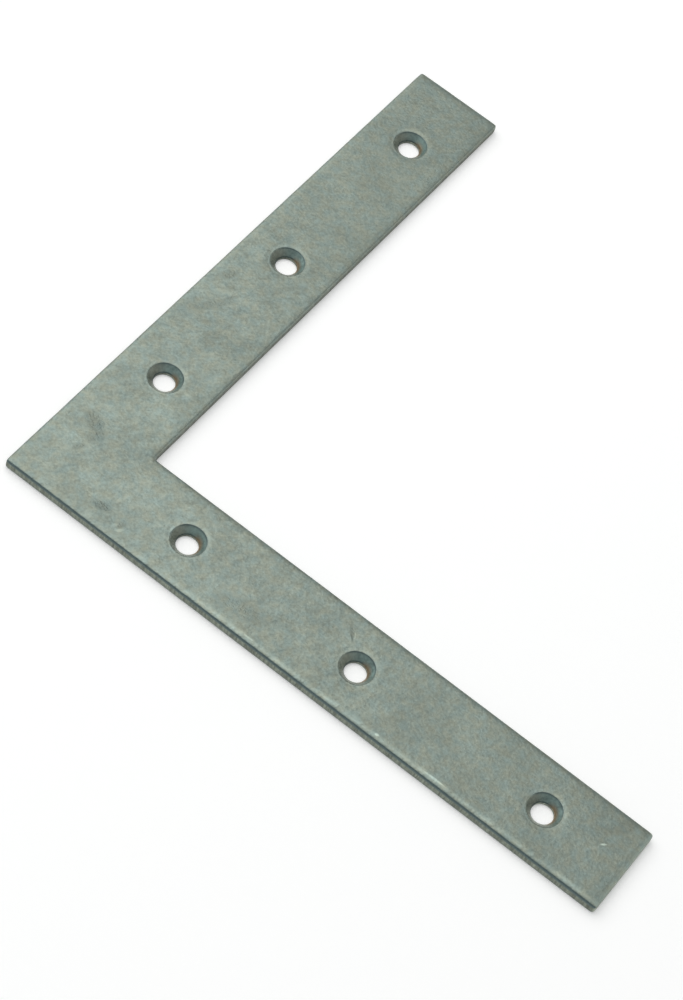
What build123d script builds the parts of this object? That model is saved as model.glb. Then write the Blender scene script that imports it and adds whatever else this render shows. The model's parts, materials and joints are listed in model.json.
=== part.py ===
"""Flat corner plate: one L-shaped piece of galvanised steel, drilled for six countersunk screws.

The plate lies flat with its countersinks facing up. Its origin is on the underside, where the
centre lines of the two arms cross. One arm runs along +X and the other along +Y.
"""
from build123d import *
import os

# Driving dimensions, in millimetres and degrees.
arm_length = 150.0            # from the outer corner to the end of either arm
arm_width = 22.0
plate_thickness = 2.5
hole_diameter = 4.8           # clears the shank of a 4 mm wood screw
countersink_diameter = 8.0    # seats the 8 mm head of the same screw
countersink_angle = 90.0
hole_distances = (39.5, 83.0, 130.0)   # from the outer edge of the other arm, along each arm

outer_corner_radius = 0.8     # the five outward corners, seen from above
inner_corner_radius = 0.9     # the inward corner between the arms
top_edge_radius = 0.7         # the rolled edge that the zinc bath leaves on the upper face
bottom_edge_chamfer = 0.2     # the light break along the underside

# Worked out from the dimensions above.
half_width = arm_width / 2
arm_end = arm_length - half_width
hole_offsets = [distance - half_width for distance in hole_distances]
hole_centres = [(offset, 0) for offset in hole_offsets] + [(0, offset) for offset in hole_offsets]
plate_top = Plane.XY.offset(plate_thickness)

with BuildPart() as corner_plate:
    # The L-shaped outline, walked anticlockwise from the outer corner.
    with BuildSketch(Plane.XY) as outline:
        with BuildLine():
            Polyline(
                (-half_width, -half_width),
                (arm_end, -half_width),
                (arm_end, half_width),
                (half_width, half_width),
                (half_width, arm_end),
                (-half_width, arm_end),
                close=True,
            )
        make_face()
        inner_corner = outline.vertices().sort_by_distance((half_width, half_width))[0]
        fillet(inner_corner, radius=inner_corner_radius)
        # That fillet ends in the two vertices nearest its corner, so the outward ones follow them.
        outer_corners = outline.vertices().sort_by_distance((half_width, half_width))[2:]
        fillet(outer_corners, radius=outer_corner_radius)
    extrude(amount=plate_thickness)

    # The rims are worked before the holes are cut, so that each group holds only the outline.
    fillet(corner_plate.edges().group_by(Axis.Z)[-1], radius=top_edge_radius)
    chamfer(corner_plate.edges().group_by(Axis.Z)[0], length=bottom_edge_chamfer)

    # Three screw holes on the centre line of each arm, countersunk from the upper face.
    with Locations(plate_top):
        with Locations(*hole_centres):
            CounterSinkHole(
                radius=hole_diameter / 2,
                counter_sink_radius=countersink_diameter / 2,
                counter_sink_angle=countersink_angle,
            )

corner_plate.part.label = "corner_plate"

os.makedirs("parts", exist_ok=True)
export_step(corner_plate.part, "parts/corner_plate.step")
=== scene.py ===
"""Flat corner plate in hot-dip galvanised steel, lying in a plain pale studio.

The plate is modelled round the fixed frame: its outline, thickness and screw holes are read from
there. Everything is in metres, with one arm along +X, the other along +Y and the plate on z = 0.
"""
import json
import math

import bmesh
import bpy
from mathutils import Matrix, Vector


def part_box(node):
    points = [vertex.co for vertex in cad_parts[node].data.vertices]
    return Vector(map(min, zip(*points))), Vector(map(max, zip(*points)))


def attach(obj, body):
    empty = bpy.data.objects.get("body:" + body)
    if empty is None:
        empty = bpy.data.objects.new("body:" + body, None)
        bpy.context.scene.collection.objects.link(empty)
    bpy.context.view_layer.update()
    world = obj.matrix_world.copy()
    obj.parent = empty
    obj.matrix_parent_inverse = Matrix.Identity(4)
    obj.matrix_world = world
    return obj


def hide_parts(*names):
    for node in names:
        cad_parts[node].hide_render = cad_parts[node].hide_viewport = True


bl_info = {
    "name": "Flat Corner Plate",
    "version": (1, 0, 0),
    "blender": (4, 5, 0),
    "location": "View3D > Sidebar > Corner Plate",
    "description": "Models a galvanised flat corner plate and the studio that it lies in",
    "category": "Object",
}

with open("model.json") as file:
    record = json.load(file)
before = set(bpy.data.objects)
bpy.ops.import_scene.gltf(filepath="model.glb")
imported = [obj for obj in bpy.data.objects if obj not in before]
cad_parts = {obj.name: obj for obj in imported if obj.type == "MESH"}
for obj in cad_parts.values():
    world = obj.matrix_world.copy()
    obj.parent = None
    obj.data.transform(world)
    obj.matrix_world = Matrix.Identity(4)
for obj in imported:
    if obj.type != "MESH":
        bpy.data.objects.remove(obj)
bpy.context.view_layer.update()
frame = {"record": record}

# ---------------------------------------------------------------------------------------------
# What the frame says about the plate
# ---------------------------------------------------------------------------------------------

MM = 0.001
BODY = "root"
NODE = "corner_plate"

PLATE_LOW, PLATE_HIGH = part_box(NODE)
THICKNESS = PLATE_HIGH.z
HALF_WIDTH = -PLATE_LOW.x
ARM_END = PLATE_HIGH.x

SCREW_HOLES = [mount for mount in frame["record"]["mounts"] if mount["kind"] == "bore"]
HOLE_CENTRES = [Vector(mount["pos_m"][:2]) for mount in SCREW_HOLES]
ARM_HOLES = sorted(centre.x for centre in HOLE_CENTRES if centre.x > HALF_WIDTH)
HOLE_RADIUS = SCREW_HOLES[0]["dims"]["r_mm"] * MM
BORE_LENGTH = SCREW_HOLES[0]["dims"]["length_mm"] * MM
# The countersink is a 90 degree cone, so it widens by as much as it rises.
MOUTH_RADIUS = HOLE_RADIUS + THICKNESS - BORE_LENGTH

# ---------------------------------------------------------------------------------------------
# How the mesh is laid out
# ---------------------------------------------------------------------------------------------

CELLS_ACROSS = 8              # faces across an arm
# Rings of a hole's cell from the square inwards: half width, and how far it is turned to a circle.
CELL_RINGS = (
    (8.8 * MM, 0.5),
    (7.0 * MM, 1.0),
    (5.4 * MM, 1.0),
    (HOLE_RADIUS, 1.0),
)
COLLAR_RADIUS = CELL_RINGS[-2][0]
WELD = 0.02 * MM
NEAR = 0.01 * MM              # how close a point must be to count as lying on a line or level
LEVEL_NORMAL = 0.99           # a face counts as level from this height of its normal
UPRIGHT_NORMAL = 0.5          # and as upright below this one
CORNER_STEPS = 3              # faces round the inner corner
EDGE_STEPS = 2                # faces across a rolled edge or a rim
UPPER_INSET = 0.7 * MM        # width of the border that keeps the upper face flat
LOWER_INSET = 0.4 * MM        # and the lower face
SMOOTH_LEVELS = 2
FINE_SHARE = 0.28             # size and depth of the fine ripples, as a share of the broad ones
FROM_HOLE = "hole_distance"   # the attribute with each point's distance from a hole's axis

# ---------------------------------------------------------------------------------------------
# How the zinc varies
# ---------------------------------------------------------------------------------------------

TOWARDS_X = (1.0, 0.0, 0.0)
AWAY_FROM_Y = (0.0, -1.0, 0.0)
UPWARDS = (0.0, 0.0, 1.0)
DRAIN_DIRECTION = math.radians(54.0)   # the way the zinc ran off, turned from +X towards +Y
BLUE_REFLECTION_SIDE = math.radians(60.0)         # the side of a countersink with a painted bluish reflection
THIN_ZINC_LIT_SIDE = math.radians(20.0)         # the side of a hole where thin zinc shows; its walls face the softbox, so this is partly painted light

# Patterns: the size of their features, and how hard these are.
CLOUD = {"size": 11 * MM, "detail": 3.0, "contrast": 1.8}
WRINKLE = {"size": 1.9 * MM, "detail": 4.5, "contrast": 2.5}
GRAIN = {"size": 0.55 * MM, "detail": 5.0, "contrast": 3.2}
TINT = {"size": 2.0 * MM, "detail": 4.0, "contrast": 3.2}
DRAIN = {"size": 1.4 * MM, "stretch": (7.0, 1.0, 1.0), "contrast": 2.6}
SHEAR = {"size": 0.5 * MM, "stretch": (1.0, 1.0, 8.0), "contrast": 3.6}
WRINKLE_STRETCH = (2.2, 1.0, 1.0)
PATCH_ROUGHNESS = 0.5
STREAK_DETAIL = 4.0
STREAK_ROUGHNESS = 0.6
CLOUD_OFFSET = 0.05           # these two keep patterns that share coordinates apart
TINT_OFFSET = 0.3

# How much the patterns lighten and darken the faces and the countersinks, and stand up.
TONES = {"wrinkle": 0.155, "drain": 0.09, "cloud": 0.12, "grain": 0.23}
CONE_TONES = {"wrinkle": 0.35, "grain": 0.25}
RELIEF = {"wrinkle": 2.4, "drain": 0.3, "grain": 0.45, "smudges": 6.0, "shear": 2.5}
RELIEF_UNIT = 0.04 * MM

# Wrinkles and streaks have their full strength near the plate's corner, up to the first distance
# from it, and only the share CALM of it from the second distance on.
LIVELY_TO = 55 * MM
CALM_FROM = 105 * MM
CALM = 0.45

# Tints, as shares of the zinc's colour, and the brownish steel that shows through thin zinc.
COOL_TINT = (0.945, 1.0, 1.05)
WARM_TINT = (1.06, 1.0, 0.95)
# The two countersink tints are a painted reflection: the cone is olive on one side and bluish on
# the other.
OLIVE_REFLECTION_CONE = (1.34, 1.26, 1.22)
BLUE_REFLECTION_CONE = (1.04, 1.24, 1.34)
# The brownish steel is shown only on bore walls that face the softbox, so it is partly painted
# light.
THIN_ZINC = (0.36, 0.27, 0.17)
WHITE = (1.0, 1.0, 1.0, 1.0)

# How light a part is, as a share of its colour; the bore's share is painted shade. The sheared
# flanks have dark and light streaks, and those towards +X get painted shade near the corner and are
# lightened towards the end of the arm.
BORE_SHADE = 0.8
FLANK_DARK = 0.66
FLANK_LIGHT = 1.38
INNER_FLANK = 0.66
END_FLANK = 1.5
END_START = 90 * MM
END_FULL = 120 * MM

# Where a look starts and where it is full, by height of the normal or by how far the surface
# faces a direction: 1 is straight at it, and 0 is square to it.
ROLL_TILT = (0.975, 0.85)
FLANK_TILT = (0.35, 0.05)
PAINTED_SHADE_TILT = (0.1, 0.4)
PAINTED_LIGHT_TILT = (0.02, 0.3)
TOP_TILT = (0.5, 0.8)
INNER_TILT = (0.1, 0.8)
BLUE_REFLECTION_SPREAD = (-0.3, 0.6)
THIN_SPREAD = (0.1, 0.65)

# Where a look starts and where it is full, outside the mouth of a countersink or its bore.
SUNK_REACH = (-0.05 * MM, -0.45 * MM)
BORE_REACH = (0.3 * MM, 0.05 * MM)
THIN_REACH = (1.0 * MM, 0.1 * MM)

# Painted highlights. Both bands give where they start, where they are full and where they end:
# in from the outside of the arm along +X, and outside the mouth of a countersink.
HIGHLIGHT_EDGE = (0.5 * MM, 1.0 * MM, 2.0 * MM)
RIM_HIGHLIGHT_BAND = (0.0, 0.25 * MM, 0.8 * MM)
HIGHLIGHT_FROM = 26 * MM         # along the arm
HIGHLIGHT_FULLY = 44 * MM
HIGHLIGHT_LEAST = 0.35           # strength where the wrinkles are lowest
HIGHLIGHT_SWELL = 1.1            # and how much more it is where they are highest
RIM_HIGHLIGHT_SHARE = 0.4               # strength of the rims
HIGHLIGHT_GAIN = 0.28
PAINTED_LIGHT_NEAR = 0.35              # gain of the painted light on the edges towards +X near the corner
PAINTED_LIGHT_END = 0.9                # and at the end of the arm

ZINC_METALLIC = 0.85
ZINC_ROUGHNESS = 0.47
CLOUD_POLISH = -0.10
FLANK_ROUGHENING = 0.12

# Wrinkles and grain tear up the smudges: over this range of their sum, the smudges' strength
# rises from the first share to the second.
TEARING = (0.55, 1.5)
TORN_SHARES = (0.15, 1.6)
MARK_CORE = 0.35              # share of a mark's reach that is at full strength

# Marks on the upper face: centre, half length and half width in millimetres, the turn of the
# length from +X towards +Y in degrees, and how much lighter (or darker) the zinc is there.
SMUDGES = (
    ((46.5, -5.3), 8.0, 3.4, 8, -0.13),
    ((10.6, -5.8), 3.4, 1.5, 10, -0.20),
    ((16.2, -6.6), 2.2, 1.2, 50, -0.14),
    ((-3.6, 9.3), 4.4, 2.6, -30, -0.18),
    ((-1.0, 6.5), 3.2, 1.8, 60, -0.15),
    ((-2.0, 2.3), 2.4, 1.0, 60, -0.14),
    ((66.5, 6.0), 2.6, 0.6, -50, -0.18),
    ((-5.0, 50.5), 8.5, 1.5, 55, -0.13),
    ((-2.7, 55.3), 2.0, 0.5, 55, -0.26),
    ((-7.0, 60.0), 3.0, 1.6, 55, -0.17),
    ((4.5, 66.0), 6.0, 0.9, 55, -0.10),
    ((134.0, 8.5), 4.0, 2.0, 70, -0.10),
)
# Bright nicks in the zinc; the bright marks along the rolled edges are painted glints.
NICKS_AND_GLINTS = (
    ((15.3, -7.7), 1.1, 0.6, 65, 0.22),
    ((6.2, 27.7), 1.5, 1.0, 80, 0.26),
    ((132.3, 1.8), 0.9, 0.3, 40, 1.1),
    ((131.0, -0.3), 1.7, 0.5, 50, 0.22),
    ((16.8, -8.0), 1.2, 0.5, 50, 0.30),
    ((84.0, -9.6), 0.7, 0.4, 10, 0.9),
    ((98.5, -9.7), 3.6, 0.35, 0, 0.7),
    ((51.5, -9.7), 1.6, 0.3, 0, 0.45),
    ((59.0, 8.0), 1.6, 0.35, 40, 0.14),
    ((37.0, -4.0), 1.3, 0.3, 52, 0.16),
    ((24.0, 6.5), 1.2, 0.3, 35, 0.14),
)

# ---------------------------------------------------------------------------------------------
# How the stage is laid out
# ---------------------------------------------------------------------------------------------

FLOOR_GAP = 0.02 * MM         # between the plate and the floor
FLOOR_RADIUS = 1.6
FLOOR_CORNERS = 96
SWEEP = 0.5                   # radius of the floor's upward sweep into the backdrop
SWEEP_STEPS = 8
SMOOTH_ANGLE = math.radians(30.0)
FLOOR_ROUGHNESS = 0.9
FLOOR_GLOSS = 0.1
SKY_COLOUR = (0.97, 0.99, 1.0)
WALL_TOP = 0.2                # where the walls' light starts to change to the ceiling's
SENSOR_WIDTH = 36.0
CLIP_START = 0.01
CLIP_END = 20.0

# ---------------------------------------------------------------------------------------------
# Settings that a user would change
# ---------------------------------------------------------------------------------------------


def length_property(name, description, default, lowest, highest):
    """A length that a user can change between two limits."""
    return bpy.props.FloatProperty(
        name=name,
        description=description,
        default=default,
        min=lowest,
        max=highest,
        unit="LENGTH",
    )


def colour_property(name, description, default):
    """A colour that a user can change."""
    return bpy.props.FloatVectorProperty(
        name=name, description=description, default=default, subtype="COLOR", min=0.0, max=1.0
    )


def angle_property(name, description, degrees):
    """An angle that a user can change, given in degrees here."""
    return bpy.props.FloatProperty(
        name=name, description=description, default=math.radians(degrees), subtype="ANGLE"
    )


class PlateSettings(bpy.types.PropertyGroup):
    """Edges, surface and colours of the plate."""

    edge_roll: length_property(
        "Edge roll", "Radius of the rolled edge round the upper face", 0.7 * MM, 0.1 * MM, 1.0 * MM
    )
    inner_corner: length_property(
        "Inner corner",
        "Radius of the inward corner between the arms",
        0.9 * MM,
        0.2 * MM,
        3.0 * MM,
    )
    under_break: length_property(
        "Underside break",
        "Width of the light break along the underside's edge",
        0.2 * MM,
        0.05 * MM,
        0.5 * MM,
    )
    rim_softness: length_property(
        "Rim softness",
        "How far the zinc rounds the rim of each countersink",
        0.22 * MM,
        0.05 * MM,
        0.5 * MM,
    )
    die_roll: length_property(
        "Die roll",
        "How far the face sags towards its sheared edges and punched rims",
        0.07 * MM,
        0.0,
        0.2 * MM,
    )
    ripple_depth: length_property(
        "Ripple depth", "Depth of the broad ripples in the zinc", 0.04 * MM, 0.0, 0.2 * MM
    )
    ripple_size: length_property(
        "Ripple size",
        "Distance from one broad ripple in the zinc to the next",
        9.0 * MM,
        1.0 * MM,
        40.0 * MM,
    )
    zinc_colour: colour_property(
        "Zinc", "Colour of the clean zinc on the faces", (0.243, 0.284, 0.244)
    )
    # Painted shade: a darker colour put on one rolled edge and in the bores.
    painted_shade_colour: colour_property(
        "Painted shade on zinc",
        "Colour of the zinc darkened by painted shade along one rolled edge and in the bores",
        (0.120, 0.165, 0.165),
    )
    flank_colour: colour_property(
        "Sheared edge", "Colour of the thin zinc over the sheared flanks", (0.235, 0.262, 0.215)
    )


class StageSettings(bpy.types.PropertyGroup):
    """The floor, the light and the camera."""

    floor_colour: colour_property(
        "Floor", "Colour of the plain floor and backdrop", (0.90, 0.90, 0.89)
    )
    floor_lift: bpy.props.FloatProperty(
        name="Floor lift",
        description="How much the floor is lifted towards white where it is seen or mirrored",
        default=0.3,
        min=0.0,
        max=1.0,
    )
    ceiling_level: bpy.props.FloatProperty(
        name="Ceiling light",
        description="Strength of the room's light from straight above",
        default=0.5,
        min=0.0,
        max=2.0,
    )
    wall_level: bpy.props.FloatProperty(
        name="Wall light",
        description="Strength of the room's light from the horizon",
        default=0.25,
        min=0.0,
        max=2.0,
    )
    softbox_power: bpy.props.FloatProperty(
        name="Softbox power",
        description="Power of the softbox above the plate, in watts",
        default=12.2,
        min=0.0,
        max=200.0,
    )
    softbox_size: bpy.props.FloatProperty(
        name="Softbox size",
        description="Length of each side of the softbox",
        default=1.6,
        unit="LENGTH",
    )
    softbox_place: bpy.props.FloatVectorProperty(
        name="Softbox place",
        description="Where the softbox hangs; it faces the plate's corner",
        default=(-0.68, 0.28, 1.12),
        subtype="XYZ",
        unit="LENGTH",
    )
    azimuth: angle_property(
        "Camera azimuth", "Direction of the camera round the plate, from -Y towards +X", 19.2
    )
    elevation: angle_property(
        "Camera elevation", "Height of the camera above the horizon, as an angle", 54.7
    )
    roll: angle_property(
        "Camera roll", "How far the camera is turned about its own line of sight", 20.8
    )
    distance: bpy.props.FloatProperty(
        name="Camera distance",
        description="From the camera to the point that it looks at",
        default=0.6406,
        unit="LENGTH",
    )
    lens: bpy.props.FloatProperty(
        name="Lens",
        description="Focal length on a 36 mm sensor, in millimetres",
        default=110.5,
    )
    aim: bpy.props.FloatVectorProperty(
        name="Aim",
        description="The point on the floor that the camera looks at",
        default=(0.0451, 0.0319, 0.0),
        subtype="XYZ",
        unit="LENGTH",
    )


# ---------------------------------------------------------------------------------------------
# Modelling helpers
# ---------------------------------------------------------------------------------------------


def only(obj):
    """Makes obj the only selected object, and the active one."""
    bpy.ops.object.select_all(action="DESELECT")
    obj.select_set(True)
    bpy.context.view_layer.objects.active = obj


def pick(kind, wanted):
    """In edit mode, selects exactly the vertices, edges or faces for which wanted(item) is true."""
    bpy.ops.mesh.select_mode(type=kind)
    bpy.ops.mesh.select_all(action="DESELECT")
    mesh = bmesh.from_edit_mesh(bpy.context.edit_object.data)
    items = {"VERT": mesh.verts, "EDGE": mesh.edges, "FACE": mesh.faces}[kind]
    count = 0
    for item in items:
        if wanted(item):
            item.select_set(True)
            count += 1
    mesh.select_flush_mode()
    bmesh.update_edit_mesh(bpy.context.edit_object.data)
    if not count:
        raise RuntimeError("nothing on the plate lies where the next step needs it")


def at_level(edge, height):
    """True if both ends of the edge lie at that height."""
    return all(abs(vert.co.z - height) < NEAR for vert in edge.verts)


def off_centre(vert, centre):
    """Distance of a vertex from a hole's axis."""
    return (vert.co.xy - centre).length


def nearest_hole(vert):
    """Centre of the hole that is closest to the vertex."""
    return min(HOLE_CENTRES, key=lambda centre: off_centre(vert, centre))


def edge_distance(place):
    """How far a point of the plate is from its outline, seen from above."""
    from_notch = math.hypot(max(HALF_WIDTH - place.x, 0.0), max(HALF_WIDTH - place.y, 0.0))
    from_low_sides = min(place.x, place.y) + HALF_WIDTH
    from_arm_ends = ARM_END - max(place.x, place.y)
    return min(from_low_sides, from_arm_ends, from_notch)


def on_ring(edge, radius):
    """True if the edge is part of a circle of that radius about a hole."""
    return all(abs(off_centre(vert, nearest_hole(vert)) - radius) < NEAR for vert in edge.verts)


# ---------------------------------------------------------------------------------------------
# The plate's mesh
# ---------------------------------------------------------------------------------------------


def add_corner_square():
    """Starts the flat layout with the square where the arms meet."""
    bpy.ops.object.select_all(action="DESELECT")
    bpy.ops.mesh.primitive_grid_add(
        x_subdivisions=CELLS_ACROSS, y_subdivisions=CELLS_ACROSS, size=2 * HALF_WIDTH
    )
    plate = bpy.context.object
    plate.name = "galvanised_corner_plate"
    return plate


def pull_arm_to(start, end):
    """Extrudes the arm's open end from x = start to x = end, in faces about as long as wide."""
    steps = max(1, round((end - start) / (2 * HALF_WIDTH / CELLS_ACROSS)))
    for step in range(steps):
        here = start + (end - start) * step / steps
        pick("EDGE", lambda edge: all(abs(vert.co.x - here) < NEAR for vert in edge.verts))
        bpy.ops.mesh.extrude_edges_move(
            TRANSFORM_OT_translate={"value": ((end - start) / steps, 0, 0)}
        )


def reach_of_selection(centre):
    """In edit mode, the smallest distance from the centre to a selected vertex."""
    mesh = bmesh.from_edit_mesh(bpy.context.edit_object.data)
    return min((vert.co - centre).length for vert in mesh.verts if vert.select)


def add_hole_cell(x):
    """Adds a square cell of the arm and works its outline inwards to a round screw hole."""
    centre = Vector((x, 0, 0))
    bpy.ops.mesh.select_all(action="DESELECT")
    bpy.ops.mesh.primitive_plane_add(size=2 * HALF_WIDTH, location=centre)
    bpy.ops.mesh.delete(type="ONLY_FACE")
    pick("EDGE", lambda edge: not edge.link_faces)
    bpy.ops.mesh.subdivide(number_cuts=CELLS_ACROSS - 1)
    for radius, roundness in CELL_RINGS:
        bpy.ops.mesh.extrude_edges_move()
        bpy.ops.transform.tosphere(value=roundness)
        shrink = radius / reach_of_selection(centre)
        bpy.ops.transform.resize(value=(shrink, shrink, 1), center_override=centre)


def lay_out_arm():
    """Lays out the arm along +X: strips of faces pulled from cell to cell, out to the end."""
    reached = HALF_WIDTH
    for x in ARM_HOLES:
        pull_arm_to(reached, x - HALF_WIDTH)
        add_hole_cell(x)
        reached = x + HALF_WIDTH
    pull_arm_to(reached, ARM_END)


def copy_arm():
    """Copies the arm along +X and turns the copy a quarter turn about the corner, onto +Y."""
    pick("FACE", lambda face: face.calc_center_median().x > HALF_WIDTH)
    bpy.ops.mesh.duplicate()
    bpy.ops.transform.rotate(
        value=-math.pi / 2, orient_axis="Z", center_override=(0, 0, 0), orient_type="GLOBAL"
    )


def raise_plate():
    """Extrudes the flat layout to the plate's thickness, which leaves a closed solid."""
    bpy.ops.mesh.select_all(action="SELECT")
    bpy.ops.mesh.remove_doubles(threshold=WELD)
    bpy.ops.mesh.extrude_region_move(TRANSFORM_OT_translate={"value": (0, 0, THICKNESS)})
    bpy.ops.mesh.select_all(action="SELECT")
    bpy.ops.mesh.normals_make_consistent(inside=False)
    bpy.ops.mesh.bisect(plane_co=(0, 0, BORE_LENGTH), plane_no=(0, 0, 1))


def open_countersinks():
    """Widens the top of every hole into the mouth of its countersink."""
    growth = MOUTH_RADIUS / HOLE_RADIUS
    for centre in HOLE_CENTRES:
        pick(
            "VERT",
            lambda vert: abs(vert.co.z - THICKNESS) < NEAR
            and abs(off_centre(vert, centre) - HOLE_RADIUS) < NEAR,
        )
        bpy.ops.transform.resize(
            value=(growth, growth, 1), center_override=(centre.x, centre.y, THICKNESS)
        )


def is_outline(edge, height):
    """True for an edge of the L's outline at that height: a flat face meets an upright one."""
    if not at_level(edge, height) or len(edge.link_faces) != 2:
        return False
    upright = sorted(abs(face.normal.z) for face in edge.link_faces)
    beyond_rims = min(off_centre(vert, nearest_hole(vert)) for vert in edge.verts)
    return upright[0] < UPRIGHT_NORMAL < upright[1] and beyond_rims > COLLAR_RADIUS


def is_upright(edge, corner):
    """True for an upright edge at one corner of the outline."""
    return all((vert.co.xy - corner).length < NEAR for vert in edge.verts)


def round_edges(settings):
    """Rounds the outline, the corners and the rims of the holes."""
    inner = Vector((HALF_WIDTH, HALF_WIDTH))
    outer = [
        Vector((-HALF_WIDTH, -HALF_WIDTH)),
        Vector((ARM_END, -HALF_WIDTH)),
        Vector((ARM_END, HALF_WIDTH)),
        Vector((HALF_WIDTH, ARM_END)),
        Vector((-HALF_WIDTH, ARM_END)),
    ]
    pick("EDGE", lambda edge: is_upright(edge, inner))
    bpy.ops.mesh.bevel(offset=settings.inner_corner, segments=CORNER_STEPS, affect="EDGES")
    # The grid's own points beside the inner corner make room for the rolled edge.
    pick(
        "VERT",
        lambda vert: abs((vert.co.xy - inner).length - settings.inner_corner) < NEAR
        and max(vert.co.x, vert.co.y) < HALF_WIDTH + NEAR,
    )
    bpy.ops.transform.translate(value=(-settings.inner_corner, -settings.inner_corner, 0))
    pick(
        "EDGE",
        lambda edge: is_outline(edge, THICKNESS)
        or any(is_upright(edge, corner) for corner in outer),
    )
    bpy.ops.mesh.bevel(offset=settings.edge_roll, segments=EDGE_STEPS, affect="EDGES")
    pick("EDGE", lambda edge: is_outline(edge, 0))
    bpy.ops.mesh.bevel(offset=settings.under_break, segments=1, affect="EDGES")
    pick("EDGE", lambda edge: at_level(edge, THICKNESS) and on_ring(edge, MOUTH_RADIUS))
    bpy.ops.mesh.bevel(offset=settings.rim_softness, segments=EDGE_STEPS, affect="EDGES")
    pick(
        "EDGE",
        lambda edge: on_ring(edge, HOLE_RADIUS)
        and (at_level(edge, BORE_LENGTH) or at_level(edge, 0)),
    )
    bpy.ops.mesh.bevel(offset=settings.under_break / 2, segments=1, affect="EDGES")


def hold_faces_flat():
    """Insets the upper and lower face, so that smoothing rounds only the edges."""
    for height, direction, width in ((THICKNESS, 1, UPPER_INSET), (0, -1, LOWER_INSET)):
        pick(
            "FACE",
            lambda face: face.normal.z * direction > LEVEL_NORMAL
            and all(abs(vert.co.z - height) < NEAR for vert in face.verts),
        )
        bpy.ops.mesh.inset(thickness=width, depth=0)


def sag_edges(settings):
    """Lowers the face's border a little, as shearing and punching leave it."""
    rim = MOUTH_RADIUS + settings.rim_softness
    pick(
        "VERT",
        lambda vert: abs(vert.co.z - THICKNESS) < NEAR
        and (
            edge_distance(vert.co) < settings.edge_roll + NEAR
            or off_centre(vert, nearest_hole(vert)) < rim + WELD
        ),
    )
    bpy.ops.transform.translate(value=(0, 0, -settings.die_roll))


def smooth_and_ripple(plate, settings):
    """Smooths the cage, then lets the zinc sink in broad and fine ripples below the true faces."""
    only(plate)
    smoother = plate.modifiers.new("smooth", "SUBSURF")
    smoother.levels = SMOOTH_LEVELS
    smoother.render_levels = SMOOTH_LEVELS
    bpy.ops.object.modifier_apply(modifier=smoother.name)
    ripples = (
        ("broad", settings.ripple_size, settings.ripple_depth),
        ("fine", settings.ripple_size * FINE_SHARE, settings.ripple_depth * FINE_SHARE),
    )
    for name, size, depth in ripples:
        clouds = bpy.data.textures.new(name + " ripple", "CLOUDS")
        clouds.noise_scale = size
        clouds.noise_depth = 1
        ripple = plate.modifiers.new(name, "DISPLACE")
        ripple.texture = clouds
        ripple.texture_coords = "LOCAL"
        ripple.strength = depth
        ripple.mid_level = 1.0
        bpy.ops.object.modifier_apply(modifier=ripple.name)
    bpy.ops.object.shade_smooth()


def note_hole_distances(plate):
    """Stores each point's distance from the nearest hole's axis, for the material."""
    attribute = plate.data.attributes.new(FROM_HOLE, "FLOAT", "POINT")
    for vert, item in zip(plate.data.vertices, attribute.data):
        item.value = off_centre(vert, nearest_hole(vert))


def build_plate_mesh(settings):
    """Models the whole plate and returns its object."""
    plate = add_corner_square()
    bpy.ops.object.mode_set(mode="EDIT")
    lay_out_arm()
    copy_arm()
    raise_plate()
    open_countersinks()
    round_edges(settings)
    hold_faces_flat()
    sag_edges(settings)
    bpy.ops.object.mode_set(mode="OBJECT")
    smooth_and_ripple(plate, settings)
    note_hole_distances(plate)
    return plate


# ---------------------------------------------------------------------------------------------
# Materials
# ---------------------------------------------------------------------------------------------


def new_group(name, inputs, outputs):
    """Starts a shader node group with named sockets and returns its tree and its two end nodes."""
    tree = bpy.data.node_groups.new(name, "ShaderNodeTree")
    for label, kind, default in inputs:
        socket = tree.interface.new_socket(label, in_out="INPUT", socket_type=kind)
        if default is not None:
            socket.default_value = default
    for label, kind in outputs:
        tree.interface.new_socket(label, in_out="OUTPUT", socket_type=kind)
    return tree, tree.nodes.new("NodeGroupInput"), tree.nodes.new("NodeGroupOutput")


def use_group(tree, group, **values):
    """Places a node group and fills its inputs, whose names are given in lower case."""
    node = tree.nodes.new("ShaderNodeGroup")
    node.node_tree = group
    for label, value in values.items():
        put(tree, value, node.inputs[label.capitalize()])
    return node


def put(tree, value, socket):
    """Links a socket to a node's input, or writes a plain value there."""
    if value is None:
        return
    if isinstance(value, bpy.types.NodeSocket):
        tree.links.new(value, socket)
    else:
        socket.default_value = value


def add_math(tree, operation, first, second=None, third=None):
    """Adds a Math node whose inputs are sockets or plain numbers, and returns its output."""
    node = tree.nodes.new("ShaderNodeMath")
    node.operation = operation
    for socket, value in zip(node.inputs, (first, second, third)):
        put(tree, value, socket)
    return node.outputs[0]


def add_measure(tree, operation, vector, other=None):
    """Adds a Vector Math node whose result is a number, such as a length, and returns that."""
    node = tree.nodes.new("ShaderNodeVectorMath")
    node.operation = operation
    put(tree, vector, node.inputs[0])
    put(tree, other, node.inputs[1])
    return node.outputs["Value"]


def split_vector(tree, vector):
    """Adds a Separate XYZ node and returns its three outputs."""
    node = tree.nodes.new("ShaderNodeSeparateXYZ")
    put(tree, vector, node.inputs[0])
    return node.outputs


def add_mix(tree, factor, first, second, blend="MIX"):
    """Adds a colour Mix node and returns its colour output."""
    node = tree.nodes.new("ShaderNodeMix")
    node.data_type = "RGBA"
    node.blend_type = blend
    # The node also has sockets for other kinds of data; these are the ones for colours.
    put(tree, factor, node.inputs[0])
    put(tree, first, node.inputs[6])
    put(tree, second, node.inputs[7])
    return node.outputs[2]


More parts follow.
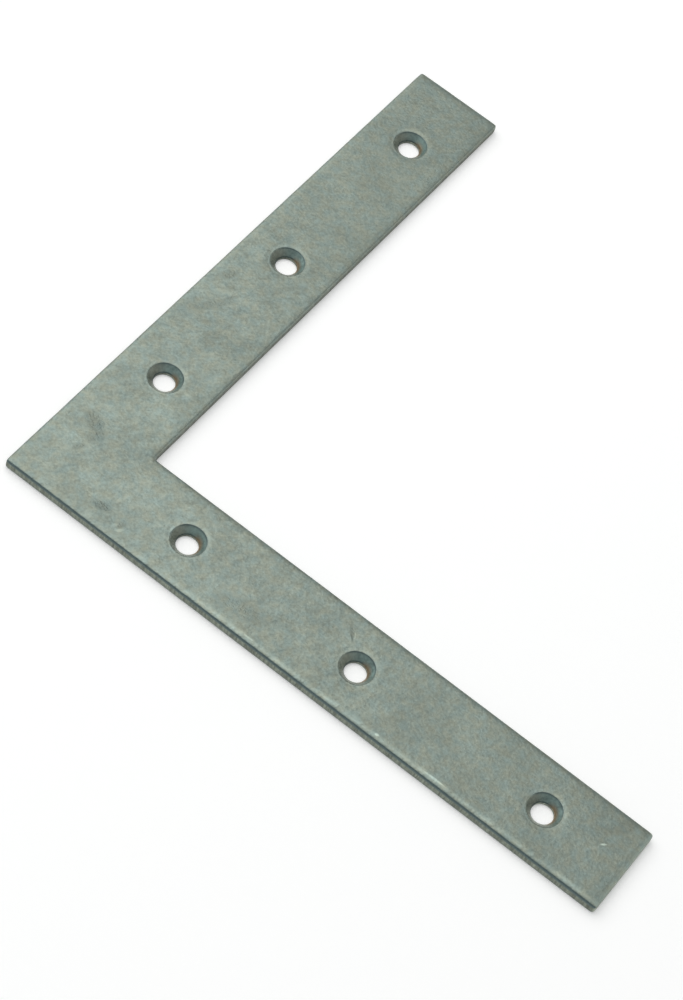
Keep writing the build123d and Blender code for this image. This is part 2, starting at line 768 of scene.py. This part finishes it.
def add_range(tree, value, low, high, to_low=0.0, to_high=1.0):
    """Adds a smooth, clamped Map Range node and returns its output."""
    node = tree.nodes.new("ShaderNodeMapRange")
    node.interpolation_type = "SMOOTHSTEP"
    for socket, number in zip(node.inputs, (value, low, high, to_low, to_high)):
        put(tree, number, socket)
    return node.outputs[0]


def add_noise(tree, vector, size, detail, roughness):
    """Adds a Noise Texture with features of that size, and returns its value."""
    node = tree.nodes.new("ShaderNodeTexNoise")
    put(tree, vector, node.inputs["Vector"])
    put(tree, add_math(tree, "DIVIDE", 1.0, size), node.inputs["Scale"])
    put(tree, detail, node.inputs["Detail"])
    put(tree, roughness, node.inputs["Roughness"])
    return node.outputs["Fac"]


def add_frame(tree, vector, turn, stretch, centre=None):
    """Measures a place in a frame that is turned, stretched and moved to a centre."""
    node = tree.nodes.new("ShaderNodeMapping")
    node.vector_type = "TEXTURE"
    put(tree, vector, node.inputs["Vector"])
    put(tree, centre, node.inputs["Location"])
    put(tree, turn, node.inputs["Rotation"])
    put(tree, stretch, node.inputs["Scale"])
    return node.outputs["Vector"]


def add_offset(tree, vector, distance):
    """Moves a pattern away from the ones that share its coordinates."""
    node = tree.nodes.new("ShaderNodeMapping")
    put(tree, vector, node.inputs["Vector"])
    put(tree, (distance, distance, distance), node.inputs["Location"])
    return node.outputs["Vector"]


def add_contrast(tree, value, contrast):
    """Spreads a value out from a half and clamps it between 0 and 1."""
    centred = add_math(tree, "SUBTRACT", value, 0.5)
    spread = add_math(tree, "MULTIPLY_ADD", centred, contrast, 0.5)
    return add_math(tree, "MINIMUM", add_math(tree, "MAXIMUM", spread, 0.0), 1.0)


def add_swing(tree, tone, mask, amount):
    """Makes a tone lighter where a mask is above a half and darker where it is below."""
    swing = add_math(tree, "SUBTRACT", mask, 0.5)
    return add_math(tree, "MULTIPLY_ADD", swing, amount, tone)


def add_band(tree, value, start, middle, end):
    """A mask that rises from start to middle and falls again towards end."""
    rise = add_range(tree, value, start, middle)
    fall = add_range(tree, value, middle, end, 1.0, 0.0)
    return add_math(tree, "MULTIPLY", rise, fall)


def make_patch_group():
    """Soft cloudy patches: how far a spot is towards the second of two looks."""
    tree, given, result = new_group(
        "cloudy patches",
        [
            ("Vector", "NodeSocketVector", None),
            ("Size", "NodeSocketFloat", 0.01),
            ("Detail", "NodeSocketFloat", 3.0),
            ("Contrast", "NodeSocketFloat", 1.0),
        ],
        [("Mask", "NodeSocketFloat")],
    )
    inputs = given.outputs
    noise = add_noise(tree, inputs["Vector"], inputs["Size"], inputs["Detail"], PATCH_ROUGHNESS)
    put(tree, add_contrast(tree, noise, inputs["Contrast"]), result.inputs["Mask"])
    return tree


def make_streak_group():
    """Streaks that run along one direction of the object."""
    tree, given, result = new_group(
        "streaks",
        [
            ("Vector", "NodeSocketVector", None),
            ("Turn", "NodeSocketVector", None),
            ("Stretch", "NodeSocketVector", None),
            ("Size", "NodeSocketFloat", 0.002),
            ("Contrast", "NodeSocketFloat", 1.0),
        ],
        [("Mask", "NodeSocketFloat")],
    )
    inputs = given.outputs
    drawn_out = add_frame(tree, inputs["Vector"], inputs["Turn"], inputs["Stretch"])
    noise = add_noise(tree, drawn_out, inputs["Size"], STREAK_DETAIL, STREAK_ROUGHNESS)
    put(tree, add_contrast(tree, noise, inputs["Contrast"]), result.inputs["Mask"])
    return tree


def make_tilt_group():
    """Tells a plate's flat faces from its rolled edges and its upright flanks by their slope."""
    tree, given, result = new_group(
        "tilt bands",
        [("Normal", "NodeSocketVector", None)],
        [("Roll", "NodeSocketFloat"), ("Flank", "NodeSocketFloat")],
    )
    level = add_math(tree, "ABSOLUTE", split_vector(tree, given.outputs["Normal"])["Z"])
    put(tree, add_range(tree, level, *ROLL_TILT), result.inputs["Roll"])
    put(tree, add_range(tree, level, *FLANK_TILT), result.inputs["Flank"])
    return tree


def make_mark_group():
    """One soft-edged mark at a place on the plate, as long and wide as its Reach."""
    tree, given, result = new_group(
        "mark",
        [
            ("Vector", "NodeSocketVector", None),
            ("Centre", "NodeSocketVector", None),
            ("Turn", "NodeSocketVector", None),
            ("Reach", "NodeSocketVector", None),
        ],
        [("Mask", "NodeSocketFloat")],
    )
    inputs = given.outputs
    inside = add_frame(tree, inputs["Vector"], inputs["Turn"], inputs["Reach"], inputs["Centre"])
    outwards = add_measure(tree, "LENGTH", inside)
    put(tree, add_range(tree, outwards, MARK_CORE, 1.0, 1.0, 0.0), result.inputs["Mask"])
    return tree


def add_marks(tree, vector, group, marks):
    """Adds up a list of marks, each times its strength."""
    total = 0.0
    for (x, y), half_length, half_width, turn, strength in marks:
        mark = use_group(
            tree,
            group,
            vector=vector,
            centre=(x * MM, y * MM, THICKNESS),
            turn=(0.0, 0.0, math.radians(turn)),
            reach=(half_length * MM, half_width * MM, THICKNESS / 2),
        )
        total = add_math(tree, "MULTIPLY_ADD", mark.outputs["Mask"], strength, total)
    return total


def with_alpha(colour, level=1.0):
    """A colour as four numbers, dimmed or raised by level."""
    return (*(channel * level for channel in colour), 1.0)


def tinted(colour, tint):
    """A colour times a tint, as four numbers."""
    return with_alpha([channel * share for channel, share in zip(colour, tint)])


def new_material(name):
    """A material with nodes, and its tree and Principled shader."""
    material = bpy.data.materials.new(name)
    material.use_nodes = True
    return material, material.node_tree, material.node_tree.nodes["Principled BSDF"]


class Surface:
    """What the zinc's nodes are told about a spot of the plate."""

    def __init__(self, tree):
        coordinates = tree.nodes.new("ShaderNodeTexCoord")
        self.tree = tree
        self.place = coordinates.outputs["Object"]
        self.normal = coordinates.outputs["Normal"]
        axes = split_vector(tree, self.place)
        self.x = axes["X"]
        self.y = axes["Y"]
        self.from_corner = add_measure(tree, "LENGTH", self.place)
        attribute = tree.nodes.new("ShaderNodeAttribute")
        attribute.attribute_name = FROM_HOLE
        self.from_hole = attribute.outputs["Fac"]
        bands = use_group(tree, make_tilt_group(), normal=self.normal)
        self.roll = bands.outputs["Roll"]
        self.flank = bands.outputs["Flank"]

    def faces(self, direction, low, high):
        """A mask that rises as the surface turns to face the direction."""
        turned = add_measure(self.tree, "DOT_PRODUCT", self.normal, direction)
        return add_range(self.tree, turned, low, high)

    def on_side(self, side, low, high):
        """A mask for the walls on one side of a hole, which face the other way."""
        return self.faces((-math.cos(side), -math.sin(side), 0.0), low, high)

    def outside(self, radius, low, high):
        """A mask that changes between two distances outside a circle about a hole."""
        return add_range(self.tree, self.from_hole, radius + low, radius + high)


def add_patterns(tree, place):
    """Adds the uneven patterns of the zinc and returns their masks by name."""
    patches = make_patch_group()
    streaks = make_streak_group()
    turn = (0.0, 0.0, DRAIN_DIRECTION)
    combed = add_frame(tree, place, turn, WRINKLE_STRETCH)
    nodes = {
        "cloud": use_group(tree, patches, vector=add_offset(tree, place, CLOUD_OFFSET), **CLOUD),
        "wrinkle": use_group(tree, patches, vector=combed, **WRINKLE),
        "grain": use_group(tree, patches, vector=place, **GRAIN),
        "tint": use_group(tree, patches, vector=add_offset(tree, place, TINT_OFFSET), **TINT),
        "drain": use_group(tree, streaks, vector=place, turn=turn, **DRAIN),
        "shear": use_group(tree, streaks, vector=place, **SHEAR),
    }
    return {name: node.outputs["Mask"] for name, node in nodes.items()}


def add_smudges(tree, surface, masks, mark):
    """The smudges, torn up by the zinc's own wrinkles and grain."""
    torn = add_math(tree, "ADD", masks["wrinkle"], masks["grain"])
    torn = add_range(tree, torn, *TEARING, *TORN_SHARES)
    return add_math(tree, "MULTIPLY", add_marks(tree, surface.place, mark, SMUDGES), torn)


def add_painted_highlight(tree, surface, masks):
    """A painted highlight along the outside of the arm along +X and round the holes."""
    start, middle, end = HIGHLIGHT_EDGE
    edge = add_band(tree, surface.y, start - HALF_WIDTH, middle - HALF_WIDTH, end - HALF_WIDTH)
    edge = add_math(tree, "MULTIPLY", edge, add_range(tree, surface.x, HIGHLIGHT_FROM, HIGHLIGHT_FULLY))
    patchy = add_math(tree, "MULTIPLY_ADD", masks["wrinkle"], HIGHLIGHT_SWELL, HIGHLIGHT_LEAST)
    edge = add_math(tree, "MULTIPLY", edge, patchy)
    start, middle, end = RIM_HIGHLIGHT_BAND
    rim = add_band(
        tree, surface.from_hole, MOUTH_RADIUS + start, MOUTH_RADIUS + middle, MOUTH_RADIUS + end
    )
    return add_math(tree, "MAXIMUM", edge, add_math(tree, "MULTIPLY", rim, RIM_HIGHLIGHT_SHARE))


def add_painted_light_on_edges(tree, surface):
    """Painted light on the rolled edges towards +X, most of all at the end of that arm."""
    rolled = add_math(
        tree, "MULTIPLY", surface.faces(TOWARDS_X, *PAINTED_LIGHT_TILT), surface.faces(UPWARDS, *TOP_TILT)
    )
    gain = add_range(tree, surface.x, END_START, END_FULL, PAINTED_LIGHT_NEAR, PAINTED_LIGHT_END)
    return add_math(tree, "MULTIPLY", rolled, gain)


def add_face(tree, surface, masks, lively, marks, colour):
    """The uneven zinc of the faces, with painted highlights and painted light on edges; marks are
    sockets that say how much lighter a spot is.
    """
    swell = add_swing(tree, 0.0, masks["wrinkle"], TONES["wrinkle"])
    swell = add_swing(tree, swell, masks["drain"], TONES["drain"])
    tone = add_math(tree, "MULTIPLY_ADD", swell, lively, 1.0)
    tone = add_swing(tree, tone, masks["cloud"], TONES["cloud"])
    tone = add_swing(tree, tone, masks["grain"], TONES["grain"])
    for mark in marks:
        tone = add_math(tree, "ADD", tone, mark)
    # Painted highlights along the outside edge and the countersinks' rims, then painted light on
    # the edges towards +X.
    tone = add_math(tree, "MULTIPLY_ADD", add_painted_highlight(tree, surface, masks), HIGHLIGHT_GAIN, tone)
    tone = add_math(tree, "ADD", tone, add_painted_light_on_edges(tree, surface))
    face = add_mix(tree, masks["tint"], tinted(colour, COOL_TINT), tinted(colour, WARM_TINT))
    return add_mix(tree, 1.0, face, tone, blend="MULTIPLY")


def add_countersink(tree, surface, masks, colour, painted_shade_colour):
    """The zinc in a countersink: a painted bluish reflection on one side, thin brown zinc put on
    the side that faces the softbox, and painted shade in the bore.
    """
    # Painted reflection: the cone is bluish on one side and olive on the other.
    bluer_reflection = surface.on_side(BLUE_REFLECTION_SIDE, *BLUE_REFLECTION_SPREAD)
    cone = add_mix(tree, bluer_reflection, tinted(colour, OLIVE_REFLECTION_CONE), tinted(colour, BLUE_REFLECTION_CONE))
    tone = add_swing(tree, 1.0, masks["wrinkle"], CONE_TONES["wrinkle"])
    tone = add_swing(tree, tone, masks["grain"], CONE_TONES["grain"])
    cone = add_mix(tree, 1.0, cone, tone, blend="MULTIPLY")
    # Painted shade in the bore.
    bore = surface.outside(HOLE_RADIUS, *BORE_REACH)
    cone = add_mix(tree, bore, cone, with_alpha(painted_shade_colour, BORE_SHADE))
    # Thin brown zinc, only on the walls that face the softbox: partly painted light.
    thin = surface.on_side(THIN_ZINC_LIT_SIDE, *THIN_SPREAD)
    thin = add_math(tree, "MULTIPLY", thin, surface.outside(HOLE_RADIUS, *THIN_REACH))
    return add_mix(tree, thin, cone, with_alpha(THIN_ZINC))


def add_flank(tree, surface, masks, colour):
    """Thin zinc over sheared steel, with painted shade on the faces towards +X near the corner,
    lightened towards the arm's end.
    """
    dark = with_alpha(colour, FLANK_DARK)
    light = with_alpha(colour, FLANK_LIGHT)
    flank = add_mix(tree, masks["shear"], dark, light)
    # Painted shade on the flanks that face +X, lightened towards the end of the arm.
    shade = add_range(tree, surface.x, END_START, END_FULL, INNER_FLANK, END_FLANK)
    shade = add_mix(tree, surface.faces(TOWARDS_X, *INNER_TILT), WHITE, shade)
    return add_mix(tree, 1.0, flank, shade, blend="MULTIPLY")


def add_relief(tree, surface, masks, lively, smudges):
    """The zinc's finest relief, as a bumped normal."""
    height = add_math(tree, "MULTIPLY", masks["wrinkle"], RELIEF["wrinkle"])
    height = add_math(tree, "MULTIPLY_ADD", masks["drain"], RELIEF["drain"], height)
    height = add_math(tree, "MULTIPLY", height, lively)
    height = add_math(tree, "MULTIPLY_ADD", masks["grain"], RELIEF["grain"], height)
    height = add_math(tree, "MULTIPLY_ADD", smudges, RELIEF["smudges"], height)
    scored = add_math(tree, "MULTIPLY", masks["shear"], surface.flank)
    height = add_math(tree, "MULTIPLY_ADD", scored, RELIEF["shear"], height)
    bump = tree.nodes.new("ShaderNodeBump")
    bump.inputs["Distance"].default_value = RELIEF_UNIT
    bump.inputs["Strength"].default_value = 1.0
    put(tree, height, bump.inputs["Height"])
    return bump.outputs["Normal"]


def make_zinc(settings):
    """Hot-dip zinc: cloudy grey-green faces with painted highlights, painted shade along one rolled
    edge and in the bores, and streaky sheared flanks.
    """
    material, tree, shader = new_material("hot_dip_zinc")
    surface = Surface(tree)
    masks = add_patterns(tree, surface.place)
    mark = make_mark_group()
    smudges = add_smudges(tree, surface, masks, mark)
    # Bright nicks in the zinc, with painted glints along the rolled edges.
    nicks_and_glints = add_marks(tree, surface.place, mark, NICKS_AND_GLINTS)
    # The zinc is livelier near the plate's corner than towards the arms' ends.
    lively = add_range(tree, surface.from_corner, LIVELY_TO, CALM_FROM, 1.0, CALM)

    zinc = settings.zinc_colour
    look = add_face(tree, surface, masks, lively, (smudges, nicks_and_glints), zinc)
    # Painted shade darkens the rolled edge, only along the outside of the arm along +X.
    painted_shade_roll = add_math(tree, "MULTIPLY", surface.roll, surface.faces(AWAY_FROM_Y, *PAINTED_SHADE_TILT))
    look = add_mix(tree, painted_shade_roll, look, with_alpha(settings.painted_shade_colour))
    sunk = surface.outside(MOUTH_RADIUS, *SUNK_REACH)
    cone = add_countersink(tree, surface, masks, zinc, settings.painted_shade_colour)
    look = add_mix(tree, sunk, look, cone)
    flank = add_flank(tree, surface, masks, settings.flank_colour)
    look = add_mix(tree, surface.flank, look, flank)
    put(tree, look, shader.inputs["Base Color"])

    shader.inputs["Metallic"].default_value = ZINC_METALLIC
    roughness = add_math(tree, "MULTIPLY_ADD", masks["cloud"], CLOUD_POLISH, ZINC_ROUGHNESS)
    roughness = add_math(tree, "MULTIPLY_ADD", surface.flank, FLANK_ROUGHENING, roughness)
    put(tree, roughness, shader.inputs["Roughness"])
    put(tree, add_relief(tree, surface, masks, lively, smudges), shader.inputs["Normal"])
    return material


def make_floor_paint(settings):
    """Matt pale paint, lifted to white for what looks straight at it or mirrors it."""
    material, tree, shader = new_material("floor_paint")
    shader.inputs["Base Color"].default_value = with_alpha(settings.floor_colour)
    shader.inputs["Roughness"].default_value = FLOOR_ROUGHNESS
    shader.inputs["Specular IOR Level"].default_value = FLOOR_GLOSS
    path = tree.nodes.new("ShaderNodeLightPath")
    seen = add_math(tree, "MAXIMUM", path.outputs["Is Camera Ray"], path.outputs["Is Glossy Ray"])
    seen = add_math(tree, "MAXIMUM", seen, path.outputs["Is Transmission Ray"])
    lift = add_math(tree, "MULTIPLY", seen, settings.floor_lift)
    shader.inputs["Emission Color"].default_value = WHITE
    tree.links.new(lift, shader.inputs["Emission Strength"])
    return material


# ---------------------------------------------------------------------------------------------
# Operators
# ---------------------------------------------------------------------------------------------


class OBJECT_OT_corner_plate(bpy.types.Operator):
    """Model the galvanised corner plate round the frame"""

    bl_idname = "object.corner_plate"
    bl_label = "Corner Plate"
    bl_options = {"REGISTER", "UNDO"}

    def execute(self, context):
        settings = context.scene.corner_plate
        plate = build_plate_mesh(settings)
        plate.data.materials.clear()
        plate.data.materials.append(make_zinc(settings))
        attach(plate, BODY)
        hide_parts(NODE)
        return {"FINISHED"}


class OBJECT_OT_corner_plate_stage(bpy.types.Operator):
    """Lay the pale floor and set the studio light and the camera"""

    bl_idname = "object.corner_plate_stage"
    bl_label = "Studio Stage"
    bl_options = {"REGISTER", "UNDO"}

    def execute(self, context):
        settings = context.scene.corner_plate_stage
        lay_floor(settings)
        light_room(context.scene, settings)
        hang_softbox(settings)
        set_camera(context.scene, settings)
        context.scene.view_settings.view_transform = "Standard"
        return {"FINISHED"}


def sweep_edge(step):
    """Height and radius of the floor's sweep after that many of its steps."""
    turn = math.pi / 2 * step / SWEEP_STEPS
    return SWEEP * (1 - math.cos(turn)), FLOOR_RADIUS + SWEEP * math.sin(turn)


def lay_floor(settings):
    """A round pale floor that sweeps up into a low round backdrop."""
    bpy.ops.object.select_all(action="DESELECT")
    bpy.ops.mesh.primitive_circle_add(
        vertices=FLOOR_CORNERS, radius=FLOOR_RADIUS, fill_type="NGON", location=(0, 0, -FLOOR_GAP)
    )
    floor = bpy.context.object
    floor.name = "studio_floor"
    bpy.ops.object.transform_apply(location=True)
    bpy.ops.object.mode_set(mode="EDIT")
    for step in range(SWEEP_STEPS):
        height, reach = sweep_edge(step)
        next_height, next_reach = sweep_edge(step + 1)
        growth = next_reach / reach
        pick("EDGE", lambda edge: len(edge.link_faces) < 2)
        bpy.ops.mesh.extrude_edges_move(
            TRANSFORM_OT_translate={"value": (0, 0, next_height - height)}
        )
        bpy.ops.transform.resize(value=(growth, growth, 1), center_override=(0, 0, 0))
    bpy.ops.object.mode_set(mode="OBJECT")
    bpy.ops.object.shade_smooth_by_angle(angle=SMOOTH_ANGLE)
    floor.data.materials.append(make_floor_paint(settings))


def light_room(scene, settings):
    """Soft, nearly white light from all round, stronger from above."""
    world = bpy.data.worlds.new("room")
    world.use_nodes = True
    tree = world.node_tree
    sky = tree.nodes["Background"]
    sky.inputs["Color"].default_value = with_alpha(SKY_COLOUR)
    direction = tree.nodes.new("ShaderNodeTexCoord")
    upward = split_vector(tree, direction.outputs["Generated"])["Z"]
    level = add_range(tree, upward, WALL_TOP, 1.0, settings.wall_level, settings.ceiling_level)
    tree.links.new(level, sky.inputs["Strength"])
    scene.world = world


def hang_softbox(settings):
    """One large soft lamp above the plate and off to its -X side."""
    bpy.ops.object.select_all(action="DESELECT")
    place = Vector(settings.softbox_place)
    bpy.ops.object.light_add(type="AREA", location=place)
    lamp = bpy.context.object
    lamp.name = "softbox"
    lamp.data.shape = "SQUARE"
    lamp.data.size = settings.softbox_size
    lamp.data.energy = settings.softbox_power
    lamp.rotation_euler = place.to_track_quat("Z", "Y").to_euler()


def set_camera(scene, settings):
    """The camera, aimed by azimuth and elevation and then rolled about its line of sight."""
    azimuth, elevation = settings.azimuth, settings.elevation
    back = Vector(
        (
            math.sin(azimuth) * math.cos(elevation),
            -math.cos(azimuth) * math.cos(elevation),
            math.sin(elevation),
        )
    )
    data = bpy.data.cameras.new("camera")
    data.lens = settings.lens
    data.sensor_width = SENSOR_WIDTH
    data.clip_start = CLIP_START
    data.clip_end = CLIP_END
    camera = bpy.data.objects.new("camera", data)
    scene.collection.objects.link(camera)
    level = back.to_track_quat("Z", "Y").to_matrix().to_4x4()
    turned = level @ Matrix.Rotation(settings.roll, 4, "Z")
    place = Vector(settings.aim) + back * settings.distance
    camera.matrix_world = Matrix.Translation(place) @ turned
    scene.camera = camera


class VIEW3D_PT_corner_plate(bpy.types.Panel):
    """Lists the plate and its stage, with their settings"""

    bl_idname = "VIEW3D_PT_corner_plate"
    bl_label = "Corner Plate"
    bl_space_type = "VIEW_3D"
    bl_region_type = "UI"
    bl_category = "Corner Plate"

    def draw(self, context):
        layout = self.layout
        for operator, settings in (
            (OBJECT_OT_corner_plate, context.scene.corner_plate),
            (OBJECT_OT_corner_plate_stage, context.scene.corner_plate_stage),
        ):
            column = layout.column()
            column.operator(operator.bl_idname)
            for name in settings.__annotations__:
                column.prop(settings, name)


CLASSES = (
    PlateSettings,
    StageSettings,
    OBJECT_OT_corner_plate,
    OBJECT_OT_corner_plate_stage,
    VIEW3D_PT_corner_plate,
)


def register():
    for cls in CLASSES:
        bpy.utils.register_class(cls)
    bpy.types.Scene.corner_plate = bpy.props.PointerProperty(type=PlateSettings)
    bpy.types.Scene.corner_plate_stage = bpy.props.PointerProperty(type=StageSettings)


def unregister():
    del bpy.types.Scene.corner_plate_stage
    del bpy.types.Scene.corner_plate
    for cls in reversed(CLASSES):
        bpy.utils.unregister_class(cls)


def main():
    """Builds the plate and its stage."""
    register()
    bpy.ops.object.corner_plate()
    bpy.ops.object.corner_plate_stage()


if __name__ == "__main__":
    main()
